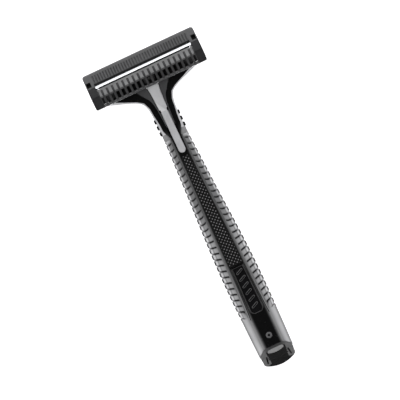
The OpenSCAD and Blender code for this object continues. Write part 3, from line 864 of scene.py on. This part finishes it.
def end_plug():
    """Domed plug cut at a slant: fluted face, flat bevel at its top and a slot on each side."""
    angles = [360 * k / 120 + 0.05 for k in range(120)]
    joint_inset, rim_r, middle_z, lowest_y = 0.35, 0.45, 4.4, -0.085
    flute_h, flute_pitch = 0.05, 0.9
    slot_half_w, slot_deep, slot_ends = 0.26, 0.9, ((2.4, 4.4), (6.6, 3.95))
    bevel_y, bevel_z, bevel_slope = 6.4, FRONT_Z - 0.41, 0.5
    spigot_l, spigot_slack = 5, 0.15

    def outline(section, s, inset):
        """Section with points added along its flats, the same number at every inset."""
        ring, first = [], [outer_point(TAIL_S, a, joint_inset) for a in angles]
        points = [section(s, a, inset) for a in angles]
        for k, (x, z) in enumerate(points):
            following = (k + 1) % len(angles)
            x1, z1 = points[following]
            more = max(1, round(math.dist(first[k], first[following]) / 0.35))
            ring += [(mix(x, x1, t / more), mix(z, z1, t / more)) for t in range(more)]
        return ring

    def joint_y(z):
        return TAIL_S + TAIL_LEAN * z

    def deep(x, z):
        """How far the domed end stands out from the slanted joint with the shells."""
        return max(0.35, 2.08 + 0.203 * (8.52 - z) - 0.046 * x * x)

    def fuller(x, z, share):
        """Towards its end the plug fills out below the handle's chamfered back."""
        low = clamp((4.0 - z) / 3.3)
        return x * (1 + smooth(share, 0.0, 1.0) * (0.05 * clamp((8 - z) / 3) + 0.26 * low ** 1.4))

    def at_depth(x, z, depth):
        return x, max(lowest_y, joint_y(z) - depth), z

    rings = []
    for share in (0.0, 0.05, 0.2, 0.4, 0.6, 0.75, 0.86, 0.94, 0.985, 1.0):
        inset = joint_inset + rim_r * (1 - sqrt(1 - share ** 2))
        plan = [(fuller(x, z, share), z) for x, z in outline(outer_point, TAIL_S, inset)]
        rings.append([at_depth(x, z, deep(x, z) * (0.02 + 0.98 * share)) for x, z in plan])
    for scale in (0.97, 0.93, 0.88, 0.8, 0.7, 0.58, 0.44, 0.28, 0.1):
        ring = []
        for x, y, z in rings[9]:
            fx, fz = x * scale, middle_z + (z - middle_z) * scale
            flute = flute_h * cos(2 * pi * fx / flute_pitch) * smooth(1 - scale, 0.02, 0.1)
            ring.append(at_depth(fx, fz, deep(fx, fz) + flute))
        rings.append(ring)
    rings.reverse()
    for in_shell in (0.1, spigot_l):
        rings.append([(x, joint_y(z) + in_shell, z)
                      for x, z in outline(cavity_point, TAIL_S + spigot_l, spigot_slack)])
    plug = raw_object("tail_plug", skin(rings))
    tools = []
    for side in (-1, 1):
        slot = []
        for z, x in slot_ends:
            x0, x1, y = x - slot_half_w, x + slot_half_w, joint_y(z) - deep(x, z) + slot_deep
            slot.append([(side * x0, -2, z), (side * x1, -2, z), (side * x1, y, z),
                         (side * x0, y, z)])
        tools.append(raw_object("tool", skin(slot)))
    wedge = [(bevel_y + dy, bevel_z + dz) for dy, dz in
             ((-6, -6 * bevel_slope), (0.5, 0.5 * bevel_slope), (0.5, 2), (-6, 2))]
    tools.append(raw_object("tool", skin([[(x, y, z) for y, z in wedge] for x in (-8, 8)])))
    combine(plug, "DIFFERENCE", *tools)
    paint(plug, "plug_black", "plug_rim", "plug_bevel")
    # Painted highlight on the flat bevel, and painted light on the outer rim round the black face
    up = Vector((0, -bevel_slope, 1)).normalized()
    for face in plug.data.polygons:
        x, y, z = abs(face.center.x), face.center.y, face.center.z
        depth, full = joint_y(z) - y, deep(x, z)
        slot_inside = abs(face.normal.x) > 0.85 or 0.5 < full - depth < 1.2
        in_slot = slot_inside and 3.6 < x < 4.75 and 2.3 < z < 6.7
        if face.normal.dot(up) > 0.985 and y < bevel_y and not in_slot:
            face.material_index = 2
        elif y >= 1.2 and not in_slot and (x > 3.5 or depth < 0.7 * full):
            face.material_index = 1
    finish(plug, "handle", "black_gloss", "end_plug", sharp=24)


def release_slider():
    """Grey stripe with a pair of notches; below it a stem and the lugs that push and are pushed."""
    bevel, top = 0.22, FRONT_Z - 0.08
    low = top - 1.22
    rings = []
    for grow, z in ((-0.06, low), (0.0, low + 0.06), (0.0, top - bevel), (-0.05, top - 0.08),
                    (-0.12, top - 0.02), (-bevel, top)):
        rings.append([(x, y, z) for x, y in slider_plan(grow)])
    stripe = raw_object("release_slider_body", skin(rings))
    notches = []
    for side in (-1, 1):
        plan = [(side * x, y) for x, y in ((1.1, 95.0), (1.25, 94.85), (2, 94.85), (2, 96.1),
                                           (1.25, 96.1), (1.1, 95.95))]
        notches.append(cutter(plan, low - 0.5, top + 1))
    combine(stripe, "DIFFERENCE", *notches)
    low_z = PLUNGER_Z - 1.1
    blocks = [
        ((-1.8, 90.5, low - 0.78), (1.8, 95, low + 0.1)),
        ((-1, 84.2, low_z), (1, 85.4, low + 0.1)),
        ((-1.2, 96.3, low_z), (1.2, 97.9, low + 0.1)),
    ]
    for lo, hi in blocks:
        plan = [(lo[0], lo[1]), (hi[0], lo[1]), (hi[0], hi[1]), (lo[0], hi[1])]
        combine(stripe, "UNION", bevel_edges(cutter(plan, lo[2], hi[2]), 0.12))
    finish(stripe, "slider", "grey_slider", "release_slider", sharp=32)


def coil(s0, s1, r, wire_r, turns, name):
    """Wire spring along the handle between two stations."""
    per_turn, sides = 28, 10
    count = turns * per_turn
    rise = (s1 - s0 - 2 * wire_r) / count
    rings = []
    for i in range(count + 1):
        t = 2 * pi * i / per_turn
        ring = []
        for k in range(sides):
            q = 2 * pi * k / sides
            rr = r + wire_r * cos(q)
            ring.append((rr * cos(t), s0 + wire_r + rise * i - wire_r * sin(q),
                         PLUNGER_Z + rr * sin(t)))
        rings.append(ring)
    return raw_object(name, skin(rings))


def springs():
    slider_spring = coil(*SLIDER_SPRING_S, 0.95, 0.14, 8, "return_spring")
    finish(slider_spring, "handle", "spring_steel", "slider_spring")
    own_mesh(slider_spring)
    plunger_spring = coil(*PLUNGER_SPRING_S, 0.9, 0.13, 5, "plunger_coil")
    finish(plunger_spring, "connector", "spring_steel", "plunger_spring")
    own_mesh(plunger_spring)


# ---------------- cartridge pieces

def on_head(x, u, w):
    """Point of the cartridge's side view, brought to the pose of the whole razor."""
    return (x, GUARD_S + u * cos(HEAD_TILT) + w * sin(HEAD_TILT),
            GUARD_Z - u * sin(HEAD_TILT) + w * cos(HEAD_TILT))


def on_blade(length, depth, edge_u=EDGE_U, angle=BLADE_ANGLE):
    """Point at a length back from the blade's edge and a depth below its face, as (u, w)."""
    return (edge_u + length * cos(angle) - depth * sin(angle),
            -length * sin(angle) - depth * cos(angle))


def bar(x0, x1, outline):
    """Straight bar across the cartridge with the same (u, w) outline all along."""
    return skin([[on_head(x, u, w) for u, w in outline] for x in (x0, x1)])


def cap():
    """Ribbed cap with rounded corners and a hole for a clip in each end."""
    ribs, pitch, rib_h = 36, 0.99, 0.26
    corner, round_x = 1.0, 0.22

    def outline(x):
        end = abs(x) > INNER_HALF_W
        over = max(0.0, abs(x) - (HEAD_HALF_W - corner))
        back = CAP_BACK - (corner - sqrt(max(0.0, corner ** 2 - over ** 2)))
        lip = max(0.0, abs(x) - (HEAD_HALF_W - round_x))
        drop = round_x - sqrt(max(0.0, round_x ** 2 - lip ** 2))
        groove = 0.0
        if abs(x) < ribs * pitch / 2:
            away = (x / pitch - math.floor(x / pitch) - 0.5) * pitch
            groove = math.exp(-(away / 0.17) ** 4)
        front = SEAM_U if end else CAP_FRONT + 0.15
        top = [(front, -0.14 - drop), (front + 0.06, -0.04 - drop), (front + 0.15, -drop)]
        for u in steps(front + 0.3, back - 1.75, 16):
            mask = smooth(u, CAP_FRONT + 0.3, CAP_FRONT + 0.5) * smooth(8.75 - u, 0, 0.35)
            top.append((u, -drop - rib_h * groove * mask))
        top += [(back - du, -dw - drop) for du, dw in
                ((1.4, 0.01), (1.1, 0.06), (0.7, 0.2), (0.35, 0.45), (0.12, 0.72), (0, 1.05))]
        if end:
            low = [(back, -CAP_DROP), (back - 0.5, -CAP_DROP), (8, -CAP_DROP), (6, -CAP_DROP),
                   (front, -CAP_DROP), (front, -0.5)]
        else:
            low = [(back, -2.75), (9.25, -2.75), on_blade(BLADE_W, 0), on_blade(4, 0),
                   on_blade(3, 0), (front, -0.5)]
        return top + low

    middle = steps(-INNER_HALF_W, INNER_HALF_W, 432)
    solids = [skin([[on_head(x, u, w) for u, w in outline(x * 0.99999)] for x in middle])]
    for side in (-1, 1):
        ends = [INNER_HALF_W - 0.01] + steps(INNER_HALF_W + 0.01, HEAD_HALF_W - corner, 6)
        ends += [HEAD_HALF_W - corner + corner * sin(radians(a)) for a in steps(8, 89, 12)]
        solids.append(skin([[on_head(side * x, u, w) for u, w in outline(max(x, INNER_HALF_W + 0.01))]
                            for x in ends]))
    piece = raw_object("cap_body", solids[0])
    for solid in solids[1:]:
        combine(piece, "UNION", raw_object("tool", solid))
    for side in (-1, 1):
        x0, x1 = sorted((side * CLIP_X[0], side * CLIP_X[1]))
        tool = raw_object("tool", bar(x0, x1, [(CLIP_U[0], -6), (CLIP_U[1], -6), (CLIP_U[1], 1),
                                               (CLIP_U[0], 1)]))
        combine(piece, "DIFFERENCE", tool)
    paint(piece, "dark_satin", "clip_black", "fin_dark")
    # Painted shade: the forward face is painted black for the shadow under the cap's front edge, and
    # the walls of the ribs' grooves darker
    ahead = Vector((0, -cos(HEAD_TILT), sin(HEAD_TILT)))
    for face in piece.data.polygons:
        if abs(face.center.x) > INNER_HALF_W - 0.1:
            continue
        if face.normal.dot(ahead) > 0.9:
            face.material_index = 1
        elif abs(face.normal.x) > 0.3:
            face.material_index = 2
    finish(piece, "cartridge", "dark_satin", "cap", sharp=32)


def guard_comb():
    """Guard bar and bottom rail, and the fins between them with softened edges."""
    bar_line = [(-0.2, -0.55), (-0.1, -0.34), (0.15, -0.2), (0.5, -0.16), (2.45, -0.16),
                (2.62, -0.05), (2.8, -0.03), (2.95, -0.2), (2.95, -1.1), (1.0, -1.3),
                (0.2, -1.35), (-0.3, -1.0)]
    rail = arc(-1.45, -4.5, 0.48, 0, 330, 11)
    comb = raw_object("comb", joined(bar(-INNER_HALF_W, INNER_HALF_W, bar_line),
                                     bar(-INNER_HALF_W, INNER_HALF_W, rail)))
    fin = [(2.35, -0.3), (2.2, -0.08), (1.9, 0.0), (0.35, 0.0), (0.12, -0.14), (-0.1, -0.34),
           (-0.5, -1.1), (-1.2, -2.9), (-1.85, -4.55), (-1.9, -4.85), (-1.75, -5.0), (-1.4, -5.02),
           (-1.1, -4.8), (-0.3, -3.2), (0.5, -1.6), (0.9, -1.25), (2.3, -1.1)]
    solids = []
    last = (COMB_OPENINGS - 1) / 2
    half, soft = COMB_RIB / 2, 0.12
    for i in range(COMB_OPENINGS - 1):
        x = (i - last + 0.5) * COMB_PITCH
        rings = []
        for dx, shrink in ((-half, soft), (-half + 0.04, 0.05), (-half + soft, 0), (half - soft, 0),
                           (half - 0.04, 0.05), (half, soft)):
            ring = []
            for k, (u, w) in enumerate(fin):
                a, b = fin[k - 1], fin[(k + 1) % len(fin)]
                nu, nw = b[1] - a[1], a[0] - b[0]
                size = hypot(nu, nw)
                ring.append(on_head(x + dx, u - shrink * nu / size, w - shrink * nw / size))
            rings.append(ring)
        solids.append(skin(rings))
    backing = [(0.8, -1.2), (1.0, -1.2), (-0.58, -4.9), (-0.78, -4.9)]
    for side in (-1, 1):
        for near, far, outline in ((INNER_HALF_W - 0.35, INNER_HALF_W, fin), (1.0, 1.95, backing),
                                   (14.7, 15.8, backing)):
            solids.append(bar(*sorted((side * near, side * far)), outline))
    solids.append(bar(-INNER_HALF_W, INNER_HALF_W, [(0.75, -1.2), (0.95, -1.2), (0.5, -2.2),
                                                    (0.3, -2.2)]))
    fins = raw_object("comb_fins", joined(*solids))
    # Painted shade: the fins are painted darker than the guard bar
    paint(fins, "fin_dark")
    bevel_edges(comb, 0.06, angle=50)
    paint(comb, "dark_satin", "comb_cell")
    # Painted light: the guard bar's upward faces are painted paler
    top = Vector((0, sin(HEAD_TILT), cos(HEAD_TILT)))
    for face in comb.data.polygons:
        if face.normal.dot(top) > 0.8:
            face.material_index = 1
    finish(comb, "cartridge", "dark_satin", "guard_comb", sharp=32)
    finish(fins, "cartridge", "dark_satin", sharp=40)


def blade():
    """The blade, and at each end of its edge a small slanted steel keeper on the comb."""
    half, edge_u = INNER_HALF_W - 0.05, EDGE_U + 0.08
    ground = [on_blade(*p, edge_u, BLADE_LEAN)
              for p in ((0, 0.05), (0.1, 0.02), (0.35, 0), (3, 0), (3, BLADE_T), (0.35, BLADE_T),
                        (0.1, 0.08))]
    solids = [skin([[on_head(x, u, w) for u, w in ground] for x in steps(-half, half, 40)])]
    for side in (-1, 1):
        plan = [(side * x, u) for x, u in ((17.6, 3.5), (17.48, 3.5), (16.85, 2.55), (16.95, 2.5))]
        solids.append(skin([[on_head(x, u, w) for x, u in plan] for w in (-0.4, 0.02)]))
    piece = raw_object("razor_blade", joined(*solids))
    finish(piece, "cartridge", "blade_steel", "blade", sharp=5)
    # Painted shadow: a black bar under the cap's front edge stands in for the shadow gap between cap
    # and blade
    shadow_bar = raw_object("blade_shadow_bar", bar(-half, half, [(4.45, -1.15), (5.5, -1.35), (5.5, -0.2),
                                                          (4.53, -0.2), (4.45, -0.26)]))
    paint(shadow_bar, "nub_black")
    finish(shadow_bar, "cartridge", "clip_black")


def end_clip(side, word):
    """Dark staple sunk in the cap's end, with a folded edge."""
    x0, x1 = CLIP_X[0] + 0.04, CLIP_X[1] - 0.04
    u0, u1 = CLIP_U[0] + 0.04, CLIP_U[1] - 0.04
    rings = []
    for inset, w in ((0.1, -4.3), (0, -4.2), (0, -1.1), (0.06, -0.98), (0.2, -0.92), (0.4, -1.0)):
        plan = [(x0 + inset, u0 + inset), (x1 - inset, u0 + inset), (x1 - inset, u1 - inset),
                (x0 + inset, u1 - inset)]
        rings.append([on_head(side * x, u, w) for x, u in plan])
    clip = raw_object("clip_" + word, skin(rings))
    finish(clip, "cartridge", "clip_black", "end_clip_" + word, sharp=30)


def softened():
    """Plain solids whose shape is already right: the same shapes with rounded edges."""
    rows = (
        ("cartridge_frame", "head_frame", 0.14, "cartridge", "dark_satin"),
        ("blade_seat", "blade_bed", 0.08, "cartridge", "inner_black"),
        ("connector", "head_carrier", 0.2, "connector", "inner_black"),
        ("plunger", "push_pin", 0.1, "plunger", "inner_white"),
        ("spring_bracket", "spring_seat", 0.1, "handle", "inner_black"),
    )
    for node, name, width, body, slot in rows:
        piece = from_node(node, name, width)
        # Painted shade: the cartridge frame is painted darker than the cap's satin, for the shade on
        # its end blocks
        if name == "head_frame":
            paint(piece, "block_dark")
        finish(piece, body, slot, node, sharp=32)


# ---------------- studio

def floor():
    """Plain pale floor just below the razor."""
    mesh = bpy.data.meshes.new("floor")
    bm = bmesh.new()
    bmesh.ops.create_grid(bm, x_segments=2, y_segments=2, size=3.0)
    bm.to_mesh(mesh)
    bm.free()
    plane = bpy.data.objects.new("floor", mesh)
    plane.location.z = -0.0002
    link(plane)
    mat = bpy.data.materials.new("pale_floor")
    mat.use_nodes = True
    shader = mat.node_tree.nodes["Principled BSDF"]
    dial(shader, Base_Color=(0.85, 0.85, 0.86, 1), Roughness=0.9, Emission_Color=(1, 1, 1, 1),
         Emission_Strength=0.8)
    mesh.materials.append(mat)


def softbox(name, place, size, radiance):
    """Rectangular lamp aimed at the razor; the camera doesn't see it."""
    target = (0, 0, 0.005)
    light = bpy.data.lights.new(name, "AREA")
    light.shape = "RECTANGLE"
    light.size, light.size_y = size
    light.energy = radiance * pi * size[0] * size[1]
    obj = bpy.data.objects.new(name, light)
    obj.location = place
    obj.rotation_euler = (Vector(target) - Vector(place)).to_track_quat("-Z", "Y").to_euler()
    obj.visible_camera = False
    link(obj)


def studio():
    scene = bpy.context.scene
    scene.view_settings.view_transform = "Standard"
    world = bpy.data.worlds.new("studio")
    world.use_nodes = True
    nodes, links = world.node_tree.nodes, world.node_tree.links
    background = nodes["Background"]
    coords = nodes.new("ShaderNodeTexCoord")
    split = nodes.new("ShaderNodeSeparateXYZ")
    ramp = nodes.new("ShaderNodeValToRGB")
    low, high = ramp.color_ramp.elements
    low.position, low.color = 0.3, (1.2, 1.2, 1.22, 1)
    high.position, high.color = 0.8, (0.004, 0.004, 0.004, 1)
    links.new(coords.outputs["Generated"], split.inputs["Vector"])
    links.new(split.outputs["Z"], ramp.inputs["Fac"])
    links.new(ramp.outputs["Color"], background.inputs["Color"])
    # The side behind the tail is dimmer, so that the comb's front stays dark
    behind = nodes.new("ShaderNodeMapRange")
    dial(behind, From_Min=-0.7, From_Max=0.0, To_Min=0.3)
    links.new(split.outputs["Y"], behind.inputs["Value"])
    links.new(behind.outputs["Result"], background.inputs["Strength"])
    scene.world = world
    softbox("head_light", (0, 0.62, 0.36), (0.7, 0.34), 2.2)
    softbox("tail_light", (0, -0.6, 0.42), (0.5, 0.12), 4.0)
    for side in (-1, 1):
        softbox("side_light", (side * 0.6, 0.0, 0.4), (0.9, 0.45), 1.6)


def camera():
    """Straight above the razor, turned so that the head lies towards the upper left."""
    lens, sensor, view_w = 300.0, 36.0, 0.1361
    data = bpy.data.cameras.new("camera")
    data.lens, data.sensor_width = lens, sensor
    data.clip_end = 20
    obj = bpy.data.objects.new("camera", data)
    obj.location = (-0.0018, 0.00386, view_w * lens / sensor + FRONT_Z * MM)
    obj.rotation_euler = (0, 0, radians(-25.06))
    link(obj)
    bpy.context.scene.camera = obj


SIDES = ((-1, "left"), (1, "right"))
handle_front()
handle_back()
for side, word in SIDES:
    side_grip(side, word)
thumb_pad()
badge_plate()
badge_lines()
ring_stud()
for side, word in SIDES:
    neck_nubs(side, word)
end_plug()
release_slider()
springs()
cap()
guard_comb()
blade()
for side, word in SIDES:
    end_clip(side, word)
softened()
floor()
studio()
camera()
